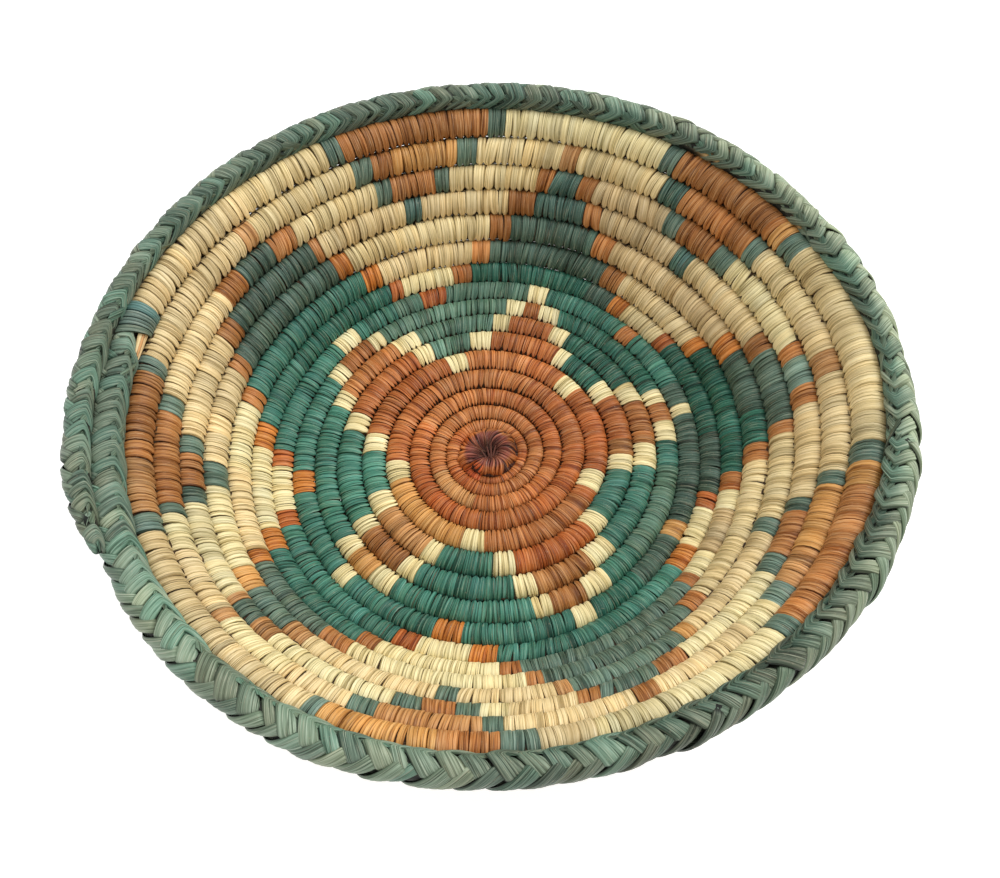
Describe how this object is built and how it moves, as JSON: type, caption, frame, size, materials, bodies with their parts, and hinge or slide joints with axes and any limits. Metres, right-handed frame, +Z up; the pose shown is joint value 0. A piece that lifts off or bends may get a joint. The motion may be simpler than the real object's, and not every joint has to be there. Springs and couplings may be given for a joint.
{
  "type": "coiled basket bowl",
  "caption": "Shallow round coiled basket bowl of leaf-wrapped straw, with a dyed star pattern and a braided rim.",
  "frame": {"origin": "middle of the flat underside, under the start knot", "axes": "+Z up through the mouth; the coil runs counter-clockwise outwards about +Z; -Y is the side nearest the viewer in the reference picture"},
  "size_m": [0.3131, 0.3092, 0.0829],
  "materials": {
    "knot_leaf": "matte",
    "rust_leaf": "matte",
    "green_leaf": "matte",
    "natural_leaf": "matte",
    "teal_leaf": "matte",
    "straw": "matte"
  },
  "bodies": {
    "root": {"start_knot": "knot_leaf", "coil_foundation": "straw", "wrapping_turn_01": "rust_leaf", "wrapping_turn_02": "rust_leaf", "wrapping_turn_03": "rust_leaf", "wrapping_turn_04": "rust_leaf", "wrapping_turn_05": "rust_leaf", "wrapping_turn_06": "rust_leaf", "wrapping_turn_07": "green_leaf", "wrapping_turn_08": "green_leaf", "wrapping_turn_09": "green_leaf", "wrapping_turn_10": "green_leaf", "wrapping_turn_11": "natural_leaf", "wrapping_turn_12": "natural_leaf", "wrapping_turn_13": "natural_leaf", "wrapping_turn_14": "natural_leaf", "wrapping_turn_15": "natural_leaf", "wrapping_turn_16": "natural_leaf", "rim_braid": "teal_leaf", "rim_core": "straw", "rim_tie": "teal_leaf", "coil_end_straw_1": "straw", "coil_end_straw_2": "straw", "coil_end_straw_3": "straw"}
  },
  "joints": []
}
